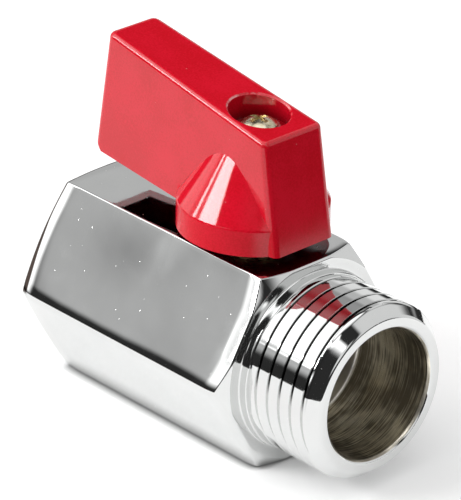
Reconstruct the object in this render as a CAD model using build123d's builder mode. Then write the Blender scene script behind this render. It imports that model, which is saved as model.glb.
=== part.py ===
"""Mini ball valve: chrome hexagon body, one female and one male pipe end, quarter-turn lever handle.

Millimetres. The pipe axis runs along X with the male end at +X, and the handle turns about Z.
The origin is on the bottom flat of the hexagon, straight under the handle's turning axis.
"""

import os
from math import radians, sqrt, tan

from build123d import *

# Hexagon body
hex_across_flats = 24.0
inlet_reach = 25.2
outlet_reach = 9.0
hex_edge_round = 0.8
hex_end_slope = 30.0

# Male outlet end, with a 1/2 inch pipe thread left as its plain outside cylinder
collar_radius = 10.65
collar_length = 1.1
outlet_thread_radius = 10.4775
outlet_thread_length = 10.3
outlet_thread_chamfer = 0.95
outlet_bore_radius = 7.75
outlet_mouth_chamfer = 0.35
outlet_wall = 1.65

# Female inlet end, with a 1/2 inch pipe thread left as its plain tapping bore
inlet_thread_radius = 9.316
inlet_mouth_chamfer = 1.2

# Ball and flow way
ball_radius = 7.25
ball_wall = 2.5
ball_end_trim = 0.2
ball_cavity_gap = 0.25
slot_width = 3.0
slot_floor_wall = 0.5

# Seat rings and the screwed-in ring that holds them
seat_ball_gap = 0.03
seat_pocket_gap = 0.05
seat_lip = 0.95
seat_back_land = 0.3
retainer_radius = 8.6
retainer_length = 4.2
retainer_edge = 0.4
retainer_set_in = 0.45
retainer_thread_gap = 0.03
key_across_flats = 11.0
key_depth = 2.6

# Stem and its gland
stem_radius = 3.25
stem_flange_lip = 1.15
stem_flange_height = 0.95
stem_flange_gap = 0.35
flange_pocket_gap = 0.2
gland_gap = 0.05
washer_height = 0.45
washer_gap = 0.05
tongue_side_gap = 0.05
tongue_end_gap = 0.2
o_ring_section = 1.3
o_ring_gap = 0.02
groove_spare = 0.5
stem_flat_half = 2.3
stem_head_length = 7.0
stem_end_chamfer = 0.3

# Handle: a round skirt and cone over the stem, crossed by a tapered, rising lever
handle_gap = 1.4
skirt_radius = 8.7
skirt_height = 3.1
skirt_set_back = 0.55
skirt_rim_round = 0.5
cone_slope = 33.8
cone_top_radius = 3.6
lever_half_width = 4.44
lever_taper = 1.67
lever_draft = 0.6
lever_nose_reach = 7.85
lever_nose_lean = 2.2
lever_nose_height = 13.1
lever_tip_reach = 23.45
lever_tip_lean = 2.15
lever_tip_lift = 2.35
lever_tip_height = 15.2
lever_nose_round = 0.9
lever_tip_round = 1.0
lever_heel_cut = 1.3
lever_top_round = 0.7
socket_gap = 0.04
socket_roof_gap = 0.2
screw_seat_height = 11.6
screw_well_radius = 3.5
screw_well_edge = 0.2
lever_wall = 1.2

# Quarter-turn stop: a lug under the handle in a curved slot milled in the top flat
stop_radius = 5.3
stop_lug_width = 1.4
stop_lug_angle = 20.0
stop_lug_rest_angle = 135.0
stop_lug_depth = 1.0
stop_slot_gap = 0.15
stop_slot_floor_gap = 0.2
stop_end_gap = 1.0
quarter_turn = 90.0

# Handle screw
screw_radius = 1.5
screw_length = 8.8
screw_hole_gap = 0.15
screw_thread_gap = 0.02
screw_head_radius = 2.1
screw_head_height = 1.6
screw_head_edge = 0.9
screw_tap_spare = 0.7
cross_length = 2.6
cross_width = 0.7
cross_depth = 1.0
cross_taper = 12.0

# Heights above the bottom flat, and places along the pipe, that follow from the sizes above
axis_z = hex_across_flats / 2
body_top = hex_across_flats
hex_corner_radius = hex_across_flats / sqrt(3)
hex_end_length = (hex_corner_radius - hex_across_flats / 2) * tan(radians(hex_end_slope))
collar_end = outlet_reach + collar_length
outlet_end = collar_end + outlet_thread_length
flow_radius = ball_radius - ball_wall
cavity_radius = ball_radius + ball_cavity_gap
seat_back = ball_radius + seat_back_land
outlet_bore_floor = seat_back + outlet_wall
retainer_end = seat_back + retainer_length
inlet_thread_floor = retainer_end + retainer_set_in

flange_radius = stem_radius + stem_flange_lip
flange_bottom = axis_z + ball_radius + stem_flange_gap
flange_top = flange_bottom + stem_flange_height
washer_top = flange_top + washer_height
gland_bottom = washer_top + washer_gap
gland_radius = stem_radius + gland_gap
groove_radius = gland_radius - o_ring_section - 2 * o_ring_gap
groove_middle = (gland_bottom + body_top) / 2
groove_half = (o_ring_section + groove_spare) / 2
slot_floor = axis_z + flow_radius + slot_floor_wall
tongue_bottom = slot_floor + tongue_end_gap

handle_bottom = body_top + handle_gap
stem_top = handle_bottom + stem_head_length
screw_seat = handle_bottom + screw_seat_height
screw_tip = screw_seat - screw_length
screw_tap_bottom = screw_tip - screw_tap_spare
socket_roof = stem_top + socket_roof_gap
skirt_top = handle_bottom + skirt_height
cone_top = skirt_top + (skirt_radius - cone_top_radius) / tan(radians(cone_slope))
stop_slot_floor = body_top - stop_lug_depth - stop_slot_floor_gap

pipe_axis = Axis((0, 0, axis_z), (1, 0, 0))
skirt_axis = Axis((-skirt_set_back, 0, 0), (0, 0, 1))

os.makedirs("parts", exist_ok=True)


def finish(builder, label):
    """Name a finished piece and write it to its own file."""
    builder.part.label = label
    export_step(builder.part, f"parts/{label}.step")


def turned_about_pipe(points):
    """Closed profile through (place along the pipe, radius) points, in the upright middle plane."""
    with BuildSketch(Plane.XZ) as profile:
        with BuildLine():
            Polyline(*[(x, axis_z + radius) for x, radius in points], close=True)
        make_face()
    return profile.sketch


def ring_sector(height, inner, outer, middle_angle, span):
    """Piece of a flat ring about the stem axis, at one height."""
    with BuildSketch(Plane.XY.offset(height)) as sector:
        with BuildLine():
            outside = CenterArc((0, 0), outer, middle_angle - span / 2, span)
            inside = CenterArc((0, 0), inner, middle_angle - span / 2, span)
            Line(outside @ 0, inside @ 0)
            Line(outside @ 1, inside @ 1)
        make_face()
    return sector.sketch


# Body: one piece of hexagon bar with a turned male end, a stepped bore and the stem's gland
turned_hex = turned_about_pipe(
    [
        (-inlet_reach, 0),
        (-inlet_reach, hex_across_flats / 2),
        (hex_end_length - inlet_reach, hex_corner_radius),
        (outlet_reach - hex_end_length, hex_corner_radius),
        (outlet_reach, hex_across_flats / 2),
        (outlet_reach, 0),
    ]
)
male_end = turned_about_pipe(
    [
        (0, 0),
        (0, collar_radius),
        (collar_end, collar_radius),
        (collar_end, outlet_thread_radius),
        (outlet_end - outlet_thread_chamfer, outlet_thread_radius),
        (outlet_end, outlet_thread_radius - outlet_thread_chamfer),
        (outlet_end, 0),
    ]
)
stepped_bore = turned_about_pipe(
    [
        (-inlet_reach, 0),
        (-inlet_reach, inlet_thread_radius + inlet_mouth_chamfer),
        (inlet_mouth_chamfer - inlet_reach, inlet_thread_radius),
        (-inlet_thread_floor, inlet_thread_radius),
        (-inlet_thread_floor, retainer_radius + retainer_thread_gap),
        (-seat_back, retainer_radius + retainer_thread_gap),
        (-seat_back, cavity_radius),
        (seat_back, cavity_radius),
        (seat_back, flow_radius),
        (outlet_bore_floor, flow_radius),
        (outlet_bore_floor, outlet_bore_radius),
        (outlet_end - outlet_mouth_chamfer, outlet_bore_radius),
        (outlet_end, outlet_bore_radius + outlet_mouth_chamfer),
        (outlet_end, 0),
    ]
)

stop_slot = ring_sector(
    stop_slot_floor,
    stop_radius - stop_lug_width / 2 - stop_slot_gap,
    stop_radius + stop_lug_width / 2 + stop_slot_gap,
    stop_lug_rest_angle - quarter_turn / 2,
    quarter_turn + stop_lug_angle + 2 * stop_end_gap,
)

with BuildPart() as hex_body:
    with BuildSketch(Plane.YZ.offset(-inlet_reach)):
        with Locations((0, axis_z)):
            RegularPolygon(hex_across_flats / 2, 6, major_radius=False)
    extrude(amount=inlet_reach + outlet_reach)
    fillet(hex_body.edges().filter_by(Axis.X), hex_edge_round)
    revolve(turned_hex, pipe_axis, mode=Mode.INTERSECT)
    revolve(male_end, pipe_axis)
    revolve(stepped_bore, pipe_axis, mode=Mode.SUBTRACT)
    with BuildSketch(Plane.XY.offset(axis_z)):
        Circle(gland_radius)
    extrude(amount=body_top - axis_z, mode=Mode.SUBTRACT)
    with BuildSketch(Plane.XY.offset(axis_z)):
        Circle(flange_radius + flange_pocket_gap)
    extrude(amount=gland_bottom - axis_z, mode=Mode.SUBTRACT)
    extrude(stop_slot, amount=body_top - stop_slot_floor, mode=Mode.SUBTRACT)
finish(hex_body, "hex_body")

# Ball: bored along the pipe when open, slotted on top across the bore
ball_half_length = sqrt(ball_radius**2 - flow_radius**2) - ball_end_trim
ball_end_radius = sqrt(ball_radius**2 - ball_half_length**2)
with BuildPart() as ball:
    with BuildSketch(Plane.XZ):
        with BuildLine():
            crown = ThreePointArc(
                (ball_half_length, axis_z + ball_end_radius),
                (0, axis_z + ball_radius),
                (-ball_half_length, axis_z + ball_end_radius),
            )
            Polyline(
                crown @ 1,
                (-ball_half_length, axis_z + flow_radius),
                (ball_half_length, axis_z + flow_radius),
                crown @ 0,
            )
        make_face()
    revolve(axis=pipe_axis)
    with BuildSketch(Plane.XY.offset(slot_floor)):
        Rectangle(slot_width, 2 * ball_radius)
    extrude(amount=ball_radius, mode=Mode.SUBTRACT)
finish(ball, "ball")

# Seat rings: soft rings hollowed to the ball, one on each side
seat_sphere = ball_radius + seat_ball_gap
seat_outer = cavity_radius - seat_pocket_gap
seat_throat = sqrt(seat_sphere**2 - flow_radius**2)
seat_front = seat_throat - seat_lip
seat_lip_radius = sqrt(seat_sphere**2 - seat_front**2)
for label, side in (("inlet_seat", -1), ("outlet_seat", 1)):
    with BuildPart() as seat:
        with BuildSketch(Plane.XZ):
            with BuildLine():
                hollow = RadiusArc(
                    (side * seat_front, axis_z + seat_lip_radius),
                    (side * seat_throat, axis_z + flow_radius),
                    side * seat_sphere,
                )
                Polyline(
                    hollow @ 1,
                    (side * seat_back, axis_z + flow_radius),
                    (side * seat_back, axis_z + seat_outer),
                    (side * seat_front, axis_z + seat_outer),
                    hollow @ 0,
                )
            make_face()
        revolve(axis=pipe_axis)
    finish(seat, label)

# Seat retainer: ring screwed in behind the inlet seat, with a hexagon for the key
retainer_ring = turned_about_pipe(
    [
        (-seat_back, flow_radius),
        (-seat_back, retainer_radius - retainer_edge),
        (-seat_back - retainer_edge, retainer_radius),
        (retainer_edge - retainer_end, retainer_radius),
        (-retainer_end, retainer_radius - retainer_edge),
        (-retainer_end, flow_radius),
    ]
)
with BuildPart() as seat_retainer:
    revolve(retainer_ring, pipe_axis)
    with BuildSketch(Plane.YZ.offset(-retainer_end)):
        with Locations((0, axis_z)):
            RegularPolygon(key_across_flats / 2, 6, major_radius=False)
    extrude(amount=key_depth, mode=Mode.SUBTRACT)
finish(seat_retainer, "seat_retainer")

# Stem: tongue in the ball's slot, flange held inside the body, seal groove, two flats for the handle
with BuildPart() as stem:
    with BuildSketch(Plane.XZ):
        with BuildLine():
            Polyline(
                (0, flange_bottom),
                (flange_radius, flange_bottom),
                (flange_radius, flange_top),
                (stem_radius, flange_top),
                (stem_radius, groove_middle - groove_half),
                (groove_radius, groove_middle - groove_half),
                (groove_radius, groove_middle + groove_half),
                (stem_radius, groove_middle + groove_half),
                (stem_radius, stem_top - stem_end_chamfer),
                (stem_radius - stem_end_chamfer, stem_top),
                (0, stem_top),
                close=True,
            )
        make_face()
    revolve(axis=Axis.Z)
    with BuildSketch(Plane.XY.offset(tongue_bottom)):
        Circle(stem_radius)
        Rectangle(slot_width - 2 * tongue_side_gap, 2 * stem_radius, mode=Mode.INTERSECT)
    extrude(amount=flange_bottom - tongue_bottom)
    with BuildSketch(Plane.XY.offset(handle_bottom)):
        Rectangle(2 * flange_radius, 2 * flange_radius)
        Rectangle(2 * flange_radius, 2 * stem_flat_half, mode=Mode.SUBTRACT)
    extrude(amount=stem_head_length, mode=Mode.SUBTRACT)
    with BuildSketch(Plane.XY.offset(screw_tap_bottom)):
        Circle(screw_radius + screw_thread_gap)
    extrude(amount=stem_top - screw_tap_bottom, mode=Mode.SUBTRACT)
finish(stem, "stem")

# Thrust washer between the stem's flange and the body
with BuildPart() as thrust_washer:
    with BuildSketch(Plane.XY.offset(flange_top)):
        Circle(flange_radius)
        Circle(gland_radius, mode=Mode.SUBTRACT)
    extrude(amount=washer_height)
finish(thrust_washer, "thrust_washer")

# Stem seal ring, at its squeezed size in the groove
with BuildPart() as stem_o_ring:
    with Locations((0, 0, groove_middle)):
        Torus(groove_radius + o_ring_gap + o_ring_section / 2, o_ring_section / 2)
finish(stem_o_ring, "stem_o_ring")

# Handle: skirt and cone turned about an axis close to the stem, cut flush with the nose, then the lever
nose_low = Vector(lever_nose_reach, 0, handle_bottom)
nose_high = nose_low + Vector(-lever_nose_lean, 0, lever_nose_height)
tip_low = Vector(-lever_tip_reach, 0, handle_bottom + lever_tip_lift)
tip_high = tip_low + Vector(lever_tip_lean, 0, lever_tip_height)
across = Vector(0, 1, 0)


def side_plane(side, set_in):
    """Plane of one tapered and drafted side of the lever, moved inward by set_in."""
    outward = Vector(-tan(radians(lever_taper)), side, tan(radians(lever_draft)))
    return Plane((0, side * (lever_half_width - set_in), handle_bottom), z_dir=outward)


with BuildPart() as lever:
    with BuildSketch(Plane.XZ):
        with BuildLine():
            outline = [nose_low, nose_high, tip_high, tip_low]
            Polyline(*[(point.X, point.Z) for point in outline], close=True)
        make_face()
    extrude(amount=skirt_radius, both=True)
    for side in (-1, 1):
        split(bisect_by=side_plane(side, 0), keep=Keep.BOTTOM)
    upright = lever.edges().filter_by(lambda edge: abs(edge.tangent_at(0.5).Z) > 0.9)
    fillet(upright.filter_by_position(Axis.X, 0, lever_nose_reach), lever_nose_round)
    upright = lever.edges().filter_by(lambda edge: abs(edge.tangent_at(0.5).Z) > 0.9)
    fillet(upright.sort_by(Axis.X)[:2], lever_tip_round)
    fillet(lever.faces().sort_by(Axis.Z)[-1].edges(), lever_top_round)
    underside = (nose_low - tip_low).normalized()
    upward = (tip_high - tip_low).normalized()
    with BuildSketch(Plane.XZ):
        with BuildLine():
            corner = tip_low - (underside + upward) * lever_heel_cut
            along = tip_low + underside * lever_heel_cut
            above = tip_low + upward * lever_heel_cut
            Polyline(*[(point.X, point.Z) for point in (corner, along, above)], close=True)
        make_face()
    extrude(amount=lever_half_width, both=True, mode=Mode.SUBTRACT)

# Hollow under the lever, open below: one wall inside its top, its sides, its tip and the skirt
top_slope = (tip_high.Z - nose_high.Z) / (nose_high.X - tip_high.X)
hollow_start = -skirt_set_back - skirt_radius - lever_wall / 2
hollow_end = tip_high.X + lever_wall
hollow_foot = tip_low.X + lever_heel_cut + lever_wall


def hollow_roof(x):
    """Height of the hollow's roof, one wall under the lever's top."""
    return nose_high.Z + (nose_high.X - x) * top_slope - lever_wall


with BuildPart() as hollow:
    with BuildSketch(Plane.XZ):
        with BuildLine():
            Polyline(
                (hollow_start, handle_bottom),
                (hollow_start, hollow_roof(hollow_start)),
                (hollow_end, hollow_roof(hollow_end)),
                (hollow_foot, handle_bottom),
                close=True,
            )
        make_face()
    extrude(amount=skirt_radius, both=True)
    for side in (-1, 1):
        split(bisect_by=side_plane(side, lever_wall), keep=Keep.BOTTOM)

lug_sector = ring_sector(
    body_top - stop_lug_depth,
    stop_radius - stop_lug_width / 2,
    stop_radius + stop_lug_width / 2,
    stop_lug_rest_angle,
    stop_lug_angle,
)

with BuildPart() as handle:
    with BuildSketch(Plane.XZ):
        with BuildLine():
            Polyline(
                (-skirt_set_back, handle_bottom),
                (skirt_radius - skirt_set_back, handle_bottom),
                (skirt_radius - skirt_set_back, skirt_top),
                (cone_top_radius - skirt_set_back, cone_top),
                (-skirt_set_back, cone_top),
                close=True,
            )
        make_face()
    revolve(axis=skirt_axis)
    fillet(handle.edges().filter_by(GeomType.CIRCLE).group_by(Axis.Z)[1], skirt_rim_round)
    nose_plane = Plane(nose_low, x_dir=across, z_dir=across.cross(nose_high - nose_low))
    split(bisect_by=nose_plane, keep=Keep.BOTTOM)
    add(lever.part)
    extrude(lug_sector, amount=stop_lug_depth + handle_gap)
    add(hollow.part, mode=Mode.SUBTRACT)
    with BuildSketch(Plane.XY.offset(handle_bottom)):
        Circle(stem_radius + socket_gap)
        Rectangle(2 * flange_radius, 2 * (stem_flat_half + socket_gap), mode=Mode.INTERSECT)
    extrude(amount=socket_roof - handle_bottom, mode=Mode.SUBTRACT)
    with BuildSketch(Plane.XY.offset(socket_roof)):
        Circle(screw_radius + screw_hole_gap)
    extrude(amount=screw_seat - socket_roof, mode=Mode.SUBTRACT)
    with BuildSketch(Plane.XY.offset(screw_seat)):
        Circle(screw_well_radius)
    extrude(amount=tip_high.Z - screw_seat, mode=Mode.SUBTRACT)
    round_walls = handle.faces().filter_by(GeomType.CYLINDER)
    well_wall = round_walls.filter_by(lambda face: face.radius == screw_well_radius)
    well_edges = well_wall.edges().filter_by(GeomType.LINE, reverse=True).sort_by(Axis.Z)
    chamfer(well_edges[1:], min(screw_well_edge, (lever_half_width - screw_well_radius) / 4))
finish(handle, "handle")

# Handle screw: domed head with a cross recess, plain shank in place of its thread
head_top = screw_seat + screw_head_height
with BuildPart() as handle_screw:
    with BuildSketch(Plane.XZ):
        with BuildLine():
            Polyline(
                (0, head_top),
                (0, screw_tip),
                (screw_radius, screw_tip),
                (screw_radius, screw_seat),
                (screw_head_radius, screw_seat),
                (screw_head_radius, screw_seat + screw_head_edge),
            )
            TangentArc(
                (0, head_top),
                (screw_head_radius, screw_seat + screw_head_edge),
                tangent=(1, 0),
                tangent_from_first=True,
            )
        make_face()
    revolve(axis=Axis.Z)
    with BuildSketch(Plane.XY.offset(head_top)):
        Rectangle(cross_length, cross_width)
        Rectangle(cross_width, cross_length)
    extrude(amount=-cross_depth, taper=cross_taper, mode=Mode.SUBTRACT)
finish(handle_screw, "handle_screw")
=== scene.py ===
# %% [markdown]
# # A chrome mini ball valve with a red lever
# The exact solids of the valve come in as a fixed frame. This lesson dresses them: it winds real
# threads on the body, gives every piece its finish, and lights the valve like a small product
# studio. Blender works in metres here, with X along the pipe, Z up the stem and the origin on the
# bottom flat. The body's own sizes are typed in millimetres, as a maker reads them off the part.

import math

import bmesh
import bpy
import numpy as np
from mathutils import Matrix, Vector


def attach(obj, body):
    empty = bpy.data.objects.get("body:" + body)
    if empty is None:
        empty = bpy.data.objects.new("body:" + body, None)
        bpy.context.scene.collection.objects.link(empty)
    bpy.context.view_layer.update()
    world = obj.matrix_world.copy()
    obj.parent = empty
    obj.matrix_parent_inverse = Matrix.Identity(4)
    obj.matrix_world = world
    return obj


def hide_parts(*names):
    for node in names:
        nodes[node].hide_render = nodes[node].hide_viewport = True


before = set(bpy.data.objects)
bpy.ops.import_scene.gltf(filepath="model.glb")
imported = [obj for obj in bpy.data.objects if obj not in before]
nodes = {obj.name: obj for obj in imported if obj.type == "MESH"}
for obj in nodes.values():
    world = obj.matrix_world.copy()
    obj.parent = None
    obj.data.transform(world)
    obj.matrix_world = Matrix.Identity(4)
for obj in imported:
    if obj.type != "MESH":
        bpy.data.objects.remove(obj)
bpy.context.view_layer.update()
scene = bpy.context.scene
MM = 0.001
print("pieces in the frame:", ", ".join(sorted(nodes)))

# %% [markdown]
# ## Camera
# The valve is seen from the front of its male end, a little from above, through a long lens that
# flattens the view as product pictures do. A camera could be aimed with a Track To constraint, but
# a photograph is easier to match when the camera is built from three directions: right, up and
# back. Then a slight roll is one more number.

# %% Camera directions
azimuth, elevation, roll = math.radians(46.55), math.radians(26.54), math.radians(1.32)
back = Vector(
    (
        math.sin(azimuth) * math.cos(elevation),
        -math.cos(azimuth) * math.cos(elevation),
        math.sin(elevation),
    )
)
level = (-back).cross(Vector((0, 0, 1))).normalized()
upright = level.cross(-back)
right = level * math.cos(roll) + upright * math.sin(roll)
up = upright * math.cos(roll) - level * math.sin(roll)
looks_at = Vector((-4.1, 0, 20.6)) * MM
camera_distance = 452.4 * MM
eye = looks_at + back * camera_distance
print("camera stands at", [round(c, 3) for c in eye])

# %% Camera
camera_data = bpy.data.cameras.new("camera")
camera_data.sensor_fit = "VERTICAL"
camera_data.sensor_height = 36
camera_data.lens = 288
camera_data.clip_start = 0.01
camera = bpy.data.objects.new("camera", camera_data)
scene.collection.objects.link(camera)
camera.matrix_world = Matrix(
    (
        (right.x, up.x, back.x, eye.x),
        (right.y, up.y, back.y, eye.y),
        (right.z, up.z, back.z, eye.z),
        (0, 0, 0, 1),
    )
)
scene.camera = camera
scene.view_settings.view_transform = "Standard"
print("lens", camera_data.lens, "mm")

# %% [markdown]
# ## Small helpers for node trees
# Every finish below is a handful of nodes. They could be placed and wired by hand in the shader
# editor. In a script a few helpers keep them readable: one adds a node and fills its sockets, and
# the others stand for a sum, a product, a distance, a smooth step and a blend of two colours.


# %% Node helpers
def add_node(tree, kind, sockets=None, **settings):
    """A node of this kind, its settings made and its sockets filled with values or links."""
    node = tree.nodes.new(kind)
    for name, value in settings.items():
        setattr(node, name, value)
    for name, value in (sockets or {}).items():
        if isinstance(value, bpy.types.NodeSocket):
            tree.links.new(value, node.inputs[name])
        else:
            node.inputs[name].default_value = value
    return node


def math_node(tree, operation, a, b=0.5):
    """The outlet of one sum."""
    return add_node(tree, "ShaderNodeMath", {0: a, 1: b}, operation=operation).outputs[0]


def product(tree, value, *others):
    """The outlet of these values multiplied together."""
    for other in others:
        value = math_node(tree, "MULTIPLY", value, other)
    return value


print("node helpers ready")


# %% Helpers for masks and colours
def hypotenuse(tree, a, b):
    """How far a point is from an axis, from its two distances."""
    squares = math_node(tree, "ADD", product(tree, a, a), product(tree, b, b))
    return math_node(tree, "SQRT", squares)


def ease(tree, value, start, stop, low=0.0, high=1.0):
    """The value eased from low to high as it goes from start to stop."""
    sockets = {0: value, 1: start, 2: stop, 3: low, 4: high}
    node = add_node(tree, "ShaderNodeMapRange", sockets, interpolation_type="SMOOTHSTEP")
    return node.outputs[0]


def blend(tree, share, one, other):
    """A colour that goes from one to the other with share."""
    one, other = ((*c, 1) if isinstance(c, tuple) else c for c in (one, other))
    mix = add_node(tree, "ShaderNodeMix", {"Factor": share, 6: one, 7: other}, data_type="RGBA")
    return mix.outputs[2]


def split(tree, vector):
    """The outlets X, Y and Z of a vector."""
    return add_node(tree, "ShaderNodeSeparateXYZ", {0: vector}).outputs


print("mask helpers ready")

# %% [markdown]
# ## Studio
# Chrome has no colour of its own: it shows the room. Area lamps would do, but each would have to be
# hung where a certain surface mirrors it. Here the room is drawn straight into the world as soft
# bright panels on a dark ground, each given by its compass direction and its height over the
# horizon in degrees. The compass counts from the front (minus Y) towards the male end (plus X).
# The camera itself sees plain white, as behind a product on paper.

# %% Compass and height
world = bpy.data.worlds.new("studio")
world.use_nodes = True
scene.world = world
sky = world.node_tree
sky.nodes.clear()
towards = split(sky, add_node(sky, "ShaderNodeTexCoord").outputs["Generated"])
front_part = product(sky, towards["Y"], -1.0)
to_degrees = 180 / math.pi
compass = product(sky, math_node(sky, "ARCTAN2", towards["X"], front_part), to_degrees)
height = product(sky, math_node(sky, "ARCSINE", towards["Z"]), to_degrees)


def panel(left, right_side, low, high, soft, strength):
    """Brightness of one soft-edged panel."""
    across = product(
        sky,
        ease(sky, compass, left - soft, left + soft),
        ease(sky, compass, right_side + soft, right_side - soft),
    )
    along = product(
        sky,
        ease(sky, height, low - soft, low + soft),
        ease(sky, height, high + soft, high - soft),
    )
    return product(sky, across, along, strength)


print("studio directions ready")

# %% Studio panels
room_light = 0.03
studio = {
    "left lamp": (-43, -14.5, 24.5, 37, 1.0, 16.0),
    "left strip": (-54, -49.5, 19.5, 25, 0.7, 13.0),
    "left wall": (-92, -44.3, 24, 62, 2.5, 1.5),
    "left foot": (-84, -51, 2, 17, 2.5, 1.6),
    "front foot": (-37.5, 12, 14, 24, 5.0, 1.6),
    "front glint": (-43, -37, 20.5, 24.5, 0.8, 1.5),
    "grey screen": (-70, -36, 14, 60, 4.0, 0.52),
    "right wall": (60, 92, 14, 44, 4.0, 0.9),
    "rear foot": (-175, -134, 3, 20, 3.0, 0.9),
    "left rear foot": (-134, -95, 3, 20, 3.0, 0.5),
    "left rear wall": (-175, -95, 20, 33, 3.0, 0.56),
    "right rear wall": (105, 176, 8, 60, 5.0, 0.8),
    "right rear foot": (138, 190, -10, 8, 5.0, 0.8),
    "left rear patch": (-132, -110, 33, 46, 3.0, 0.35),
    "rear top": (-185, -150, 34, 60, 3.0, 0.9),
    "front top": (-60, 72, 45, 60, 4.0, 2.4),
    "ceiling": (-190, 190, 66, 100, 4.0, 1.45),
}
glow = room_light
for sizes in studio.values():
    glow = math_node(sky, "ADD", panel(*sizes), glow)
seen = add_node(sky, "ShaderNodeLightPath").outputs["Is Camera Ray"]
glow_seen = add_node(sky, "ShaderNodeMix", {"Factor": seen, 2: glow, 3: 1.0}, data_type="FLOAT")
sockets = {"Color": (1, 1, 1, 1), "Strength": glow_seen.outputs[0]}
shine = add_node(sky, "ShaderNodeBackground", sockets)
add_node(sky, "ShaderNodeOutputWorld", {"Surface": shine.outputs[0]})
print("studio panels:", len(studio))

# %% [markdown]
# ## Paper
# The valve lies on white paper. A plane primitive scaled up would do, but four typed corners let
# the sheet end where the chrome should stop mirroring it. It is matt, so it takes the soft shadow.
# Ambient occlusion over a short distance darkens the thin line where the metal touches, and a
# little light of its own, only for rays from the camera and from shiny metal, lifts it to white.

# %% Paper sheet
paper_left, paper_right, paper_front, paper_rear = -0.45, 0.1, -0.45, 0.14
paper_under = 0.00002
paper_mesh = bpy.data.meshes.new("paper")
paper_mesh.from_pydata(
    [
        (paper_left, paper_front, 0),
        (paper_right, paper_front, 0),
        (paper_right, paper_rear, 0),
        (paper_left, paper_rear, 0),
    ],
    [],
    [(0, 1, 2, 3)],
)
paper = bpy.data.objects.new("paper", paper_mesh)
paper.location.z = -paper_under
scene.collection.objects.link(paper)
print("paper", paper_right - paper_left, "m wide")

# %% Paper finish
paper_lift = 0.2
touch_distance = 0.0016
paper_look = bpy.data.materials.new("paper")
paper_look.use_nodes = True
tree = paper_look.node_tree
tree.nodes.clear()
fibres = add_node(tree, "ShaderNodeTexNoise", {"Scale": 900.0, "Detail": 3.0}).outputs[0]
nook = add_node(tree, "ShaderNodeAmbientOcclusion", {"Distance": touch_distance}, samples=8)
touch = ease(tree, nook.outputs["AO"], 0.1, 0.75, 0.25, 1.0)
tone = product(tree, ease(tree, fibres, 0.2, 0.8, 0.88, 0.9), touch)
tint = add_node(tree, "ShaderNodeCombineColor", {0: tone, 1: tone, 2: tone}).outputs[0]
matt = add_node(tree, "ShaderNodeBsdfDiffuse", {"Color": tint})
path = add_node(tree, "ShaderNodeLightPath").outputs
lifted = math_node(tree, "MAXIMUM", path["Is Camera Ray"], path["Is Glossy Ray"])
sockets = {"Color": tint, "Strength": product(tree, lifted, paper_lift)}
lift = add_node(tree, "ShaderNodeEmission", sockets)
both = add_node(tree, "ShaderNodeAddShader", {0: matt.outputs[0], 1: lift.outputs[0]})
add_node(tree, "ShaderNodeOutputMaterial", {"Surface": both.outputs[0]})
paper_mesh.materials.append(paper_look)
print("paper finish has", len(tree.nodes), "nodes")

# %% [markdown]
# ## The body's outline, all the way round
# The body is a bar of hexagon, turned at both ends and then polished. Polishing rolls the front and
# rear flats off a little before their side edges, and leaves the top edges crisp. A bevel modifier
# gives every edge the same round, so each edge is drawn here as arcs that turn from one flat to the
# next, and the shine runs round it unbroken. The arcs are laid out on half a flat at a time: a place
# along the flat and a height over the pipe's axis.

# %% Half a flat and half its edge
flat_height = 12.0
axis_height = 12.0
plain_steps = 16
side_edge = [(9.0, 8.0, 6), (0.25, 30.0, 4)]
crisp_edge = [(0.25, 30.0, 5)]
under_edge = [(0.8, 30.0, 7)]
edges = [side_edge, crisp_edge, crisp_edge, side_edge, under_edge, under_edge]


def half_flat(edge):
    """Places along the flat and heights over the axis, from arcs of (radius, turned to, steps)."""
    place, rise, turned = [0.0], [0.0], 0.0
    for radius, turn_to, steps in edge:
        for step in range(1, steps + 1):
            angle = math.radians(turned + (turn_to - turned) * step / steps)
            before = math.radians(turned + (turn_to - turned) * (step - 1) / steps)
            place.append(place[-1] + radius * (math.sin(angle) - math.sin(before)))
            rise.append(rise[-1] + radius * (math.cos(angle) - math.cos(before)))
        turned = turn_to
    start = (flat_height + rise[-1]) * math.tan(math.radians(30)) - place[-1]
    plain = np.linspace(0, start, plain_steps + 1)[:-1]
    along = np.concatenate([plain, start + np.array(place)])
    heights = np.concatenate([np.full(plain_steps, flat_height), flat_height + np.array(rise)])
    return along, heights


print("edges of the hexagon:", len(edges))

# %% Outline of the hexagon
outline = []
for number in range(6):
    faces = math.radians(30 + 60 * number)
    for side, corner in ((-1, number), (1, number + 1)):
        along, heights = half_flat(edges[corner % 6])
        points = [(side * a, h) for a, h in zip(along, heights)]
        points = points[:0:-1] if side < 0 else points[:-1]
        for a, h in points:
            y = h * math.cos(faces) - a * math.sin(faces)
            z = h * math.sin(faces) + a * math.cos(faces)
            outline.append((y, z))
outline = np.array(outline)
turn = np.unwrap(np.arctan2(outline[:, 1], outline[:, 0]))
reach_out = np.hypot(outline[:, 0], outline[:, 1])
columns = len(turn)
print("outline points", columns, "furthest", round(reach_out.max(), 3), "mm")

# %% [markdown]
# ## The body along the pipe
# Seen along the pipe, every column of the body is one profile: along the flat, over the gently
# rolled end, round a small edge, down the turned chamfer and onto the end face. The chamfer is a
# cone that bites the corners most, which gives each flat its bowed end. A boolean with a cone would
# cut it too, but worked out with arcs the mesh stays even and the reflections clean.

# %% Ends of the hexagon
inlet_face, outlet_face = -25.2, 9.0
roll_steps, edge_steps, face_steps = 6, 6, 4


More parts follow.
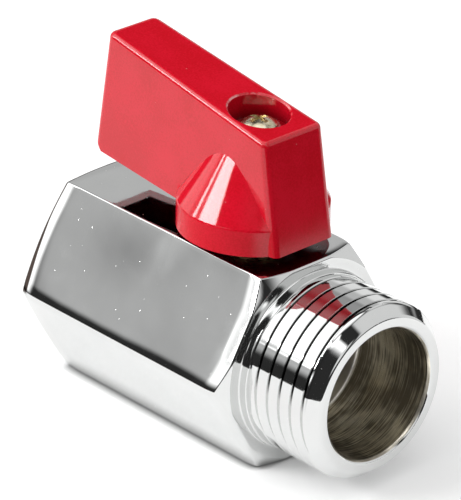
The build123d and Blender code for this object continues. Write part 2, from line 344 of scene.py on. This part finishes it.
def hexagon_end(face, sign, edge, roll_radius, roll_turn, cone_turn, face_radius):
    """Rows (place along the pipe, radius) from the flat to the end face, for every column.

    The small edge has its middle at face_radius where the cone meets the end face.
    """
    gentle, steep = math.radians(roll_turn), math.radians(cone_turn)
    low = reach_out - edge * math.cos(gentle) - roll_radius * (1 - math.cos(gentle))
    low_end = np.minimum(low, face_radius)
    depth = edge + (low - low_end) / math.tan(steep)
    rows = []
    for angle in np.linspace(0, gentle, roll_steps + 1):
        inward = depth - (edge - roll_radius) * math.sin(gentle) - roll_radius * math.sin(angle)
        radius = low + (edge - roll_radius) * math.cos(gentle) + roll_radius * math.cos(angle)
        rows.append((inward, radius))
    for angle in np.linspace(gentle, steep, edge_steps + 1)[1:]:
        rows.append((depth - edge * math.sin(angle), low + edge * math.cos(angle)))
    for angle in np.linspace(steep, math.pi / 2, face_steps + 1):
        inward = np.full(columns, edge - edge * math.sin(angle))
        rows.append((inward, low_end + edge * math.cos(angle)))
    return [(face - sign * inward, radius) for inward, radius in rows]


inlet_rows = hexagon_end(inlet_face, -1, 0.3, 18.0, 8.0, 72.0, 11.528)
outlet_rows = hexagon_end(outlet_face, 1, 0.3, 9.0, 11.0, 60.0, 11.92)
middle_rows = []
for share in np.linspace(0, 1, 10)[1:-1]:
    middle_rows.append((inlet_rows[0][0] * (1 - share) + outlet_rows[0][0] * share, reach_out))
print("rows at each end", len(inlet_rows), "and between", len(middle_rows))

# %% [markdown]
# ## Thread profile
# Both pipe threads have fourteen turns to the inch. On this valve the crests are broad and the
# grooves between them narrow and crisp. A screw modifier could wind such a profile, but it leaves
# open ends. Here the profile is a short list over one pitch: a place along the pipe, and how far
# the metal drops there.

# %% Thread profile
pitch = 25.4 / 14
crest_half, root_half, flank = 0.68, 0.04, math.radians(66)
root_edge = pitch / 2 - root_half
thread_depth = (root_edge - crest_half) * math.tan(flank)
half_place = [0.0, crest_half / 3, crest_half * 2 / 3, crest_half, root_edge, pitch / 2]
half_drop = [0.0, 0.0, 0.0, 0.0, thread_depth, thread_depth]
profile_place = half_place + [pitch - place for place in half_place[-2:0:-1]]
profile_drop = half_drop + half_drop[-2:0:-1]
rows_per_turn = len(profile_place)
print("rows in one pitch", rows_per_turn, "depth", round(thread_depth, 3), "mm")

# %% [markdown]
# ## Building the body's mesh
# The rows are strung together into one closed skin: over the outside, round the male end, back
# through the bores and out of the female end. Bmesh operators could bridge the loops one by one.
# A small builder that only keeps points and faces is shorter, and it knows which finish each face
# has.

# %% Rings and faces
body_points, body_faces, body_finish = [], [], []
CHROME, TURNED = 0, 1


def ring(place, radius):
    """One row of points round the pipe, as their numbers."""
    place = np.broadcast_to(np.asarray(place, float), (columns,))
    radius = np.broadcast_to(np.asarray(radius, float), (columns,))
    first = len(body_points)
    for x, r, a in zip(place, radius, turn):
        body_points.append((x, r * math.cos(a), axis_height + r * math.sin(a)))
    return list(range(first, first + columns))


def add_face(corners, finish):
    """A face without repeated corners, if three are left."""
    kept = [c for i, c in enumerate(corners) if c != corners[i - 1]]
    if len(set(kept)) == len(kept) and len(kept) > 2:
        body_faces.append(kept)
        body_finish.append(finish)


def join(one, other, finish):
    """Faces between two neighbouring rows."""
    for i in range(columns):
        k = (i + 1) % columns
        add_face((one[i], one[k], other[k], other[i]), finish)


print("rings have", columns, "points")

# %% [markdown]
# ## Winding a thread
# A thread's rows don't go straight round: they climb, and one full turn shifts them by a pitch. So
# the rows follow the screw line, and where it runs past the ends of the thread they fall onto the
# two plain rings there. After the last column a row goes on as the row one pitch further.


# %% Winder
def thread_grid(first, last, start, stop, phase, radius_at):
    """Rows of point numbers on the screw line between two rings."""
    way = 1 if stop > start else -1
    base = min(start, stop) - pitch
    base = base - (base - phase) % pitch
    turns = math.ceil(abs(stop - start) / pitch) + 3
    grid = []
    for number in range(turns * rows_per_turn + 1):
        lap, spot = divmod(number, rows_per_turn)
        row = []
        for i in range(columns):
            x = base + lap * pitch + profile_place[spot] + pitch * turn[i] / (2 * math.pi)
            if (x - start) * way <= 1e-6:
                row.append(first[i])
            elif (x - stop) * way >= -1e-6:
                row.append(last[i])
            else:
                r = radius_at(x, profile_drop[spot])
                row.append(len(body_points))
                body_points.append((x, r * math.cos(turn[i]), axis_height + r * math.sin(turn[i])))
        grid.append(row)
    return grid


def wind(first, last, start, stop, phase, radius_at, finish):
    """A thread between two rings: radius_at(place, drop) gives the radius of each point."""
    grid = thread_grid(first, last, start, stop, phase, radius_at)
    way = 1 if stop > start else -1
    end = columns - 1
    for j in range(len(grid) - 1):
        for i in range(end):
            corners = (grid[j][i], grid[j][i + 1], grid[j + 1][i + 1], grid[j + 1][i])
            add_face(corners[::way], finish)
        on = j + rows_per_turn
        if on + 1 < len(grid):
            corners = (grid[j][end], grid[on][0], grid[on + 1][0], grid[j + 1][end])
            add_face(corners[::way], finish)


def fade(value, start, stop):
    """Eases from 0 to 1 as value goes from start to stop."""
    share = min(max((value - start) / (stop - start), 0.0), 1.0)
    return share * share * (3 - 2 * share)


print("winder ready")

# %% [markdown]
# ## The body's outside
# Now the rows go on in order, from the female end to the male one. First comes the polished hexagon,
# then a low collar with a small fillet at its root. The fillet is an arc of rows, which catches the
# light as the real one does, where a bare corner would look cut from paper.

# %% Hexagon and collar
countersink_mouth = 10.516
mouth = ring(inlet_face, countersink_mouth)
skin = [mouth]


def go(place, radius, finish=CHROME):
    """The next row of the skin."""
    skin.append(ring(place, radius))
    join(skin[-2], skin[-1], finish)


for share in (0.3, 0.75):
    go(inlet_face, countersink_mouth + (inlet_rows[-1][1] - countersink_mouth) * share)
for place, radius in inlet_rows[::-1] + middle_rows + outlet_rows:
    go(place, radius)
collar, collar_end, root_fillet, crest = 10.65, 10.0, 0.2, 10.4775
for share in (0.3, 0.7):
    go(outlet_face, outlet_rows[-1][1] * (1 - share) + (collar + root_fillet) * share)
for angle in np.linspace(0, math.pi / 2, 6):
    sideways = root_fillet * (1 - math.cos(angle))
    go(outlet_face + sideways, collar + root_fillet * (1 - math.sin(angle)))
for place, radius in ((9.6, collar), (collar_end, collar), (10.1, collar - 0.08), (10.12, crest)):
    go(place, radius)
print("hexagon and collar have", len(body_points), "points")

# %% [markdown]
# ## The male thread and its end
# The male thread begins shallow behind the collar, where the die ran out, and ends under a lead-in
# chamfer that helps the nut on. The end face has soft edges, a wide one outside and a small one
# inside. A bevel could soften them, but a few typed rows for each keep control of how it shines.

# %% Male thread
thread_start, thread_stop, lead_in, lead_slope = 10.25, 20.0, 18.95, 0.84
groove_from, groove_full, male_phase = 10.7, 11.2, 0.58


def lead_in_radius(x):
    return crest - lead_slope * max(0.0, x - lead_in)


def male_radius(x, drop):
    return min(crest - drop * fade(x, groove_from, groove_full), lead_in_radius(x))


go(thread_start, crest)
thread_end = ring(thread_stop, lead_in_radius(thread_stop))
wind(skin[-1], thread_end, thread_start, thread_stop, male_phase, male_radius, CHROME)
skin.append(thread_end)
print("male thread ends at", thread_stop, "mm")

# %% Male end face
male_end, outlet_bore = 20.4, 7.75
end_rows = [(20.18, 9.444), (20.22, 9.41), (20.3, 9.32), (20.36, 9.22), (20.39, 9.12)]
end_rows += [(male_end, radius) for radius in (9.02, 8.97, 8.6, 8.22, 8.17)]
end_rows += [(20.385, 8.13), (20.36, 8.09), (20.27, 7.98)]
for place, radius in end_rows:
    go(place, radius)
print("outside done,", len(body_points), "points")

# %% [markdown]
# ## Bores and the female thread
# The bores were left as the tool cut them and only thinly plated, so they get a finish of their
# own. They step down to the flow way, open again for the ball, and run out through the female
# thread with its wide countersink. The same winder makes that thread, with the grooves outwards.

# %% Bores
flow_way, ball_room, retainer_bore, tapped = 4.75, 7.5, 8.63, 9.316
step_face, seat_face, thread_foot, female_start = 9.2, 7.55, -12.2, -12.6
bore_rows = [(20.22, 7.92), (20.08, 7.79)]
bore_rows += [(place, outlet_bore) for place in (19.95, 19.8, 15.0, 9.5)]
bore_rows += [(9.4, 7.74), (9.24, 7.62)]
bore_rows += [(step_face, radius) for radius in (7.5, 6.2, flow_way)]
bore_rows += [(seat_face, flow_way)]
bore_rows += [(place, ball_room) for place in (seat_face, 3.0, -3.0, -seat_face)]
bore_rows += [(place, retainer_bore) for place in (-seat_face, thread_foot)]
bore_rows += [(place, tapped) for place in (thread_foot, female_start)]
for place, radius in bore_rows:
    go(place, radius, TURNED)
print("bores have", len(bore_rows), "rows")

# %% Female thread
countersink, female_stop, female_phase = -24.0, -24.45, 0.4


def female_radius(x, drop):
    depth = fade(-x, 12.8, 14.6) * (1 - fade(-x, 23.4, 24.4))
    return max(tapped + drop * depth, tapped + max(0.0, countersink - x))


female_end = ring(female_stop, female_radius(female_stop, 0.0))
wind(skin[-1], female_end, female_start, female_stop, female_phase, female_radius, TURNED)
join(female_end, mouth, TURNED)
body_mesh = bpy.data.meshes.new("threaded_body")
body_mesh.from_pydata([Vector(p) * MM for p in body_points], [], body_faces)
body_mesh.polygons.foreach_set("material_index", body_finish)
body_mesh.update()
print("skin", len(body_mesh.vertices), "points", len(body_mesh.polygons), "faces")

# %% [markdown]
# ## Holes in the top flat
# The stem comes up through a stepped hole, and a curved slot beside it takes the stop under the
# handle. Modelling them into the grid would spoil its even rows, so both are cut with a boolean.
# The cutters are simple turned and swept solids, a little taller than the metal they go through.


# %% Cutter shapes
def turned_cutter(shell, steps, sides=64):
    """A stepped round cutter about the stem, from (radius, height) steps."""
    loops = []
    for radius, z in steps:
        angles = [2 * math.pi * k / sides for k in range(sides)]
        spots = [(radius * math.cos(a), radius * math.sin(a), z) for a in angles]
        loops.append([shell.verts.new(spot) for spot in spots])
    for one, other in zip(loops, loops[1:]):
        for k in range(sides):
            n = (k + 1) % sides
            shell.faces.new((one[k], one[n], other[n], other[k]))
    shell.faces.new(loops[0][::-1])
    shell.faces.new(loops[-1])


def slot_cutter(shell, inner, outer, middle, span, low, high, sides=40):
    """A curved slot between two radii."""
    angles = np.radians(np.linspace(middle - span / 2, middle + span / 2, sides))
    flat = [(outer * math.cos(a), outer * math.sin(a)) for a in angles]
    flat += [(inner * math.cos(a), inner * math.sin(a)) for a in angles[::-1]]
    under = [shell.verts.new((x, y, low)) for x, y in flat]
    over = [shell.verts.new((x, y, high)) for x, y in flat]
    shell.faces.new(under[::-1])
    shell.faces.new(over)
    for k in range(len(flat)):
        n = (k + 1) % len(flat)
        shell.faces.new((under[k], under[n], over[n], over[k]))


print("cutter shapes ready")

# %% Gland hole and stop slot
cutter_top, flange_room, flange_foot, flange_top, gland = 25.0, 4.6, 17.0, 21.05, 3.3
slot_inner, slot_outer, slot_middle, slot_span, slot_floor = 4.45, 6.15, 90.0, 112.0, 22.8
gland_steps = [(flange_room, flange_foot), (flange_room, flange_top)]
gland_steps += [(gland, flange_top), (gland, cutter_top)]
shell = bmesh.new()
turned_cutter(shell, gland_steps)
slot_cutter(shell, slot_inner, slot_outer, slot_middle, slot_span, slot_floor, cutter_top)
bmesh.ops.scale(shell, vec=(MM, MM, MM), verts=shell.verts)
cutter_mesh = bpy.data.meshes.new("cutter")
shell.to_mesh(cutter_mesh)
shell.free()
print("cutter faces", len(cutter_mesh.polygons))

# %% [markdown]
# ## Helpers for finishes
# Each finish starts from one Principled shader and noise in the part's own coordinates, so the
# marks stay on the metal when the part moves. Image textures would need unwrapping and would blur
# up close. Noise, random specks and bump hold their detail at any distance.


# %% Finish helpers
def new_finish(name, **sockets):
    """A material with one Principled shader, its constant sockets set, and its node tree."""
    look = bpy.data.materials.new(name)
    look.use_nodes = True
    tree = look.node_tree
    shader = tree.nodes["Principled BSDF"]
    for socket, value in sockets.items():
        shader.inputs[socket.replace("_", " ")].default_value = value
    place = add_node(tree, "ShaderNodeTexCoord").outputs["Object"]
    return look, tree, shader, place


def noise(tree, place, scale, detail=2.0, stretch=None):
    """Noise of about one over scale metres, in the part's own coordinates."""
    if stretch is not None:
        place = add_node(tree, "ShaderNodeMapping", {"Vector": place, "Scale": stretch}).outputs[0]
    sockets = {"Vector": place, "Scale": scale, "Detail": detail}
    return add_node(tree, "ShaderNodeTexNoise", sockets).outputs[0]


def bump(tree, value, distance, before=None, strength=1.0):
    """The surface pushed out by value times a distance in metres."""
    sockets = {"Height": value, "Distance": distance, "Strength": strength}
    if before is not None:
        sockets["Normal"] = before
    return add_node(tree, "ShaderNodeBump", sockets).outputs[0]


def specks(tree, place, scale, size, share):
    """A mask of small spots, one in some of the cells of a random grid."""
    cells = add_node(tree, "ShaderNodeTexVoronoi", {"Vector": place, "Scale": scale}).outputs
    near = ease(tree, cells["Distance"], size, size * 0.5)
    picked = add_node(tree, "ShaderNodeSeparateColor", {0: cells["Color"]}).outputs[0]
    return product(tree, near, math_node(tree, "GREATER_THAN", picked, 1 - share))


print("finish helpers ready")

# %% [markdown]
# ## Chrome
# The body is plated with bright chrome, a mirror in a slightly warm grey. A plain metallic shader
# would look computed, so a few specks of dust lie on it. A thin painted dark reflection follows
# the chamfer of the female end, wider towards the side edges. Painted shade darkens the male
# thread's upper grooves. Both are masks made from a point's place on the body.

# %% Chrome tone, dust and a painted dark rim line
chrome, tree, shader, place = new_finish("body_chrome", Metallic=1.0)
spot = split(tree, place)
dust = specks(tree, place, 700.0, 0.06, 0.9)
tone = blend(tree, noise(tree, place, 300.0, 3.0), (0.685, 0.695, 0.69), (0.74, 0.745, 0.74))
tone = blend(tree, dust, tone, (0.97, 0.97, 0.95))
rise = math_node(tree, "SUBTRACT", spot["Z"], axis_height * MM)
radial = hypotenuse(tree, spot["Y"], rise)
past_flat = math_node(tree, "SUBTRACT", radial, flat_height * MM)
chamfer_lean = 0.325
bite = product(tree, past_flat, chamfer_lean)
from_face = math_node(tree, "SUBTRACT", spot["X"], inlet_face * MM)
inward = math_node(tree, "SUBTRACT", from_face, math_node(tree, "MAXIMUM", bite, 0.0))
rim_width = ease(tree, rise, 0.0095, 0.0005, 0.00042, 0.00095)
rim = product(
    tree,
    ease(tree, math_node(tree, "SUBTRACT", inward, rim_width), 0.00006, -0.00006),
    ease(tree, inward, 0.00001, 0.00005),
    ease(tree, rise, -0.0004, 0.0002),
)
# Painted dark reflection: the thin line along the female end's chamfer is made nearly black.
tone = blend(tree, rim, tone, (0.05, 0.036, 0.03))
print("chrome tone has", len(tree.nodes), "nodes")

# %% Painted shade in the upper grooves
# Painted shade: the male thread's grooves are made nearly black, only above the pipe's axis.
painted_groove_shade = product(
    tree,
    ease(tree, radial, 0.01041, 0.0103),
    ease(tree, spot["X"], 0.0104, 0.0107),
    ease(tree, spot["X"], 0.0192, 0.0190),
    ease(tree, rise, 0.0005, 0.003),
)
tone = blend(tree, painted_groove_shade, tone, (0.05, 0.05, 0.047))
tree.links.new(tone, shader.inputs["Base Color"])
print("grooves are dark above", axis_height, "mm")

# %% [markdown]
# ## Polish
# Polishing leaves the flats gently wavy, which bends the reflections into soft blotches, while the
# turned thread stays true. Two large noises as bump give the waves, faded out before the thread.
# They could be modelled too, but a bump needs no more mesh. A very fine one stands for the plating.

# %% Polish of the flats
flats = ease(tree, spot["X"], 0.0092, 0.0082)
wave = bump(tree, noise(tree, place, 70.0, 0.0), 5.0e-4, strength=flats)
ripple = bump(tree, noise(tree, place, 170.0, 0.5), 5.0e-5, wave, strength=flats)
plating = bump(tree, noise(tree, place, 2600.0, 2.0), 3.0e-7, ripple)
tree.links.new(plating, shader.inputs["Normal"])
gloss = ease(tree, noise(tree, place, 500.0, 4.0), 0.3, 0.75, 0.03, 0.075)
gloss = math_node(tree, "ADD", gloss, product(tree, dust, 0.4))
tree.links.new(gloss, shader.inputs["Roughness"])
print("chrome has", len(tree.nodes), "nodes")

# %% [markdown]
# ## Turned metal in the bores
# A lathe tool leaves fine rings in the bores. They could be cut as a fine thread, at the cost of a
# very dense mesh. Noise that is squeezed along the pipe gives them as well, in colour, in roughness
# and as a slight bump. The edge of the step is left bright, where the tool turned inwards.

# %% Turned metal
turned, tree, shader, place = new_finish("turned_metal", Metallic=1.0)
rings = noise(tree, place, 220.0, 4.0, (24.0, 1.0, 1.0))
streak = product(tree, math_node(tree, "ADD", rings, noise(tree, place, 250.0, 3.0)), 0.5)
dark_brass, pale_brass = (0.22, 0.195, 0.155), (0.93, 0.88, 0.75)
tone = blend(tree, ease(tree, streak, 0.42, 0.64), dark_brass, pale_brass)
along_pipe = split(tree, place)["X"]
step_edge = product(
    tree,
    ease(tree, along_pipe, 0.00915, 0.00925),
    ease(tree, along_pipe, 0.0096, 0.0094),
)
tone = blend(tree, step_edge, tone, (0.98, 0.96, 0.9))
tree.links.new(tone, shader.inputs["Base Color"])
tree.links.new(ease(tree, streak, 0.35, 0.7, 0.42, 0.26), shader.inputs["Roughness"])
tree.links.new(bump(tree, rings, 8.0e-6), shader.inputs["Normal"])
print("turned metal has", len(tree.nodes), "nodes")

# %% [markdown]
# ## Putting the body in the frame
# The body is one piece of brass on the real valve, so it is one mesh here. The skin and its cutter
# become objects, the boolean is worked out once, and only its result is kept. Leaving the modifier
# on would work it out again at every pose. Shading is smooth except where two faces meet at a real
# edge. The piece then takes the place of the plain solid and moves with the valve's body.

# %% Cut body
for mesh in (body_mesh, cutter_mesh):
    mesh.materials.append(chrome)
    mesh.materials.append(turned)
cutter_mesh.polygons.foreach_set("material_index", [TURNED] * len(cutter_mesh.polygons))
rough_body = bpy.data.objects.new("rough_body", body_mesh)
cutter = bpy.data.objects.new("cutter", cutter_mesh)
for item in (rough_body, cutter):
    scene.collection.objects.link(item)
cut = rough_body.modifiers.new("holes", "BOOLEAN")
cut.operation = "DIFFERENCE"
cut.solver = "EXACT"
cut.object = cutter
bpy.context.view_layer.update()
settled = bpy.context.evaluated_depsgraph_get()
cut_mesh = bpy.data.meshes.new_from_object(rough_body.evaluated_get(settled))
for item in (rough_body, cutter):
    bpy.data.objects.remove(item)
print("cut body has", len(cut_mesh.vertices), "points")

# %% Body object
sharp_turn = math.radians(35)
cut_mesh.name = "threaded_body"
cut_mesh.polygons.foreach_set("use_smooth", [True] * len(cut_mesh.polygons))
cut_mesh.set_sharp_from_angle(angle=sharp_turn)
body = bpy.data.objects.new("threaded_body", cut_mesh)
scene.collection.objects.link(body)
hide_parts("hex_body")
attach(body, "valve_body")
print("body triangles", sum(len(p.vertices) - 2 for p in cut_mesh.polygons))

# %% [markdown]
# ## Red handle
# The handle is a glossy moulding in strong red, cloudy and finely grained. The base colour stays
# deep, because the gloss adds the pink sheen by itself wherever the surface faces something bright.
# Ambient occlusion deepens the nooks. No light gets into the hollow under the lever, so walls that
# face the stem and faces that look down go nearly black: that needs no lamp, only their direction.

# %% Red tone and dark hollow
red, tree, shader, place = new_finish("handle_red", Roughness=0.08, IOR=1.52)
spot = split(tree, place)
facing = split(tree, add_node(tree, "ShaderNodeTexCoord").outputs["Normal"])
grain = noise(tree, place, 4500.0, 1.0)
cloud = math_node(tree, "ADD", noise(tree, place, 180.0, 3.0), grain)
tone = blend(tree, ease(tree, cloud, 0.75, 1.25), (0.58, 0.004, 0.014), (0.67, 0.007, 0.024))
nook = add_node(tree, "ShaderNodeAmbientOcclusion", {"Distance": 0.004}, samples=8).outputs["AO"]
tone = blend(tree, ease(tree, nook, 0.1, 0.75), (0.1, 0.0, 0.002), tone)
faces_out = math_node(
    tree,
    "ADD",
    product(tree, facing["X"], spot["X"]),
    product(tree, facing["Y"], spot["Y"]),
)
under_well = ease(tree, spot["Z"], 0.0362, 0.0352)
hollow = product(tree, ease(tree, faces_out, -0.0004, -0.0016), under_well)
underside = ease(tree, facing["Z"], -0.35, -0.6, 0.0, 0.6)
tone = blend(tree, math_node(tree, "MAXIMUM", hollow, underside), tone, (0.022, 0.0, 0.001))
print("red tone has", len(tree.nodes), "nodes")

# %% [markdown]
# ## Wear and gloss of the handle
# The top shows tiny raised dots from the mould and a paler worn line round the screw well. The
# skirt is a little duller than the lever. A worn edge could be painted on; here it is a ring mask
# broken up by noise.

# %% Worn rim, dots and gloss
radial = hypotenuse(tree, spot["X"], spot["Y"])
rim = product(
    tree,
    ease(tree, radial, 0.00351, 0.00355),
    ease(tree, radial, 0.00375, 0.0036),
    ease(tree, spot["Z"], 0.0375, 0.0378),
)
worn = product(tree, rim, ease(tree, noise(tree, place, 700.0, 3.0), 0.45, 0.65))
dots = specks(tree, place, 480.0, 0.05, 0.22)
paler = math_node(tree, "MAXIMUM", worn, product(tree, dots, 0.35))
tone = blend(tree, paler, tone, (0.85, 0.32, 0.33))
tree.links.new(tone, shader.inputs["Base Color"])
skirt = product(
    tree,
    ease(tree, spot["Z"], 0.0287, 0.0284),
    ease(tree, radial, 0.0097, 0.0094),
    ease(tree, facing["X"], 0.85, 0.65),
)
tree.links.new(ease(tree, skirt, 0.0, 1.0, 0.5, 0.12), shader.inputs["Specular IOR Level"])
lumps = bump(tree, dots, 1.2e-5, bump(tree, grain, 2.5e-6))
tree.links.new(lumps, shader.inputs["Normal"])
print("red has", len(tree.nodes), "nodes")

# %% [markdown]
# ## The other finishes
# The pieces inside are seen through the bores and in the gaps: yellow zinc on the screw, turned
# brass on the stem and the retaining ring, white seats, black rubber and a polished ball. One
# function makes a metal and one a plastic or rubber. Tone, roughness and bump follow noise at the
# scale of the real surface, so none of them is a flat colour.


# %% Kinds of finish
def metal(name, dark, light, rough, stretch, scale, depth):
    """A metal whose tone, roughness and bump follow one noise."""
    look, tree, shader, place = new_finish(name, Metallic=1.0)
    marks = noise(tree, place, scale, 5.0, stretch)
    tone = blend(tree, ease(tree, marks, 0.3, 0.7), dark, light)
    tree.links.new(tone, shader.inputs["Base Color"])
    tree.links.new(ease(tree, marks, 0.3, 0.7, *rough), shader.inputs["Roughness"])
    tree.links.new(bump(tree, marks, depth), shader.inputs["Normal"])
    return look


def moulded(name, dark, light, rough, scale, depth):
    """A plastic or rubber with a cloudy tone and a fine tooth."""
    look, tree, shader, place = new_finish(name)
    cloud = noise(tree, place, scale, 4.0)
    tone = blend(tree, ease(tree, cloud, 0.3, 0.7), dark, light)
    tree.links.new(tone, shader.inputs["Base Color"])
    tree.links.new(ease(tree, cloud, 0.3, 0.7, *rough), shader.inputs["Roughness"])
    tree.links.new(bump(tree, noise(tree, place, scale * 6, 2.0), depth), shader.inputs["Normal"])
    return look


print("kinds of finish ready")

# %% Screw, brass, seats, rubber and ball
round_stem, round_pipe, round_ball = (1.0, 1.0, 30.0), (40.0, 1.0, 1.0), (1.0, 1.0, 12.0)
zinc = metal("screw_zinc", (0.50, 0.43, 0.29), (0.76, 0.70, 0.54), (0.12, 0.28), None, 1500.0, 6e-6)
stem_tones = (0.62, 0.44, 0.20), (0.83, 0.64, 0.34)
brass = metal("stem_brass", *stem_tones, (0.2, 0.34), round_stem, 150.0, 4e-6)
retainer_tones = (0.60, 0.43, 0.20), (0.80, 0.62, 0.34)
ring_brass = metal("retainer_brass", *retainer_tones, (0.22, 0.36), round_pipe, 120.0, 5e-6)
ball_tones = (0.74, 0.745, 0.74), (0.82, 0.825, 0.82)
ball_chrome = metal("ball_chrome", *ball_tones, (0.05, 0.1), round_ball, 300.0, 6e-7)
ptfe = moulded("seat_ptfe", (0.80, 0.80, 0.77), (0.90, 0.90, 0.88), (0.4, 0.55), 600.0, 2e-6)
rubber_tones = (0.012, 0.012, 0.012), (0.03, 0.03, 0.032)
rubber = moulded("seal_rubber", *rubber_tones, (0.45, 0.6), 800.0, 3e-6)
finishes = {
    "handle": red,
    "handle_screw": zinc,
    "stem": brass,
    "seat_retainer": ring_brass,
    "ball": ball_chrome,
    "inlet_seat": ptfe,
    "outlet_seat": ptfe,
    "thrust_washer": ptfe,
    "stem_o_ring": rubber,
}
for name, look in finishes.items():
    nodes[name].data.materials.clear()
    nodes[name].data.materials.append(look)
print("finishes on", len(finishes), "pieces")
